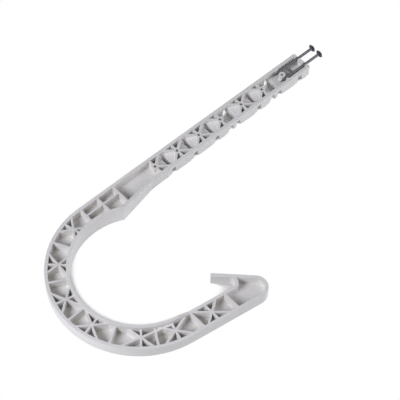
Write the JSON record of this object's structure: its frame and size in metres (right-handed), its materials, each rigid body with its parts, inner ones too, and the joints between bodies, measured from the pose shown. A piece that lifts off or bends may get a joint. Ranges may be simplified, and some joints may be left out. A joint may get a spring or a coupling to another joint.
{
  "type": "pipe j-hook",
  "caption": "Moulded plastic pipe hanger shaped like a J: ribbed stem with nail bosses and break-off grooves, proud round pipe cradle, springy finger at the tip, nails stored in the stem.",
  "frame": {"origin": "on the axis of the pipe cradle, level with the saddle's lower edge, on which the hook lies", "axes": "+X towards the hook's tip, +Y along the stem to its nailing end, +Z out of the open ribbed side"},
  "size_m": [0.13, 0.2765, 0.013],
  "materials": {
    "hook_plastic": "satin moulded",
    "nail_steel": "dark"
  },
  "bodies": {
    "root": {"hook_body": "hook_plastic", "nail_1": "nail_steel", "nail_2": "nail_steel"}
  },
  "joints": []
}
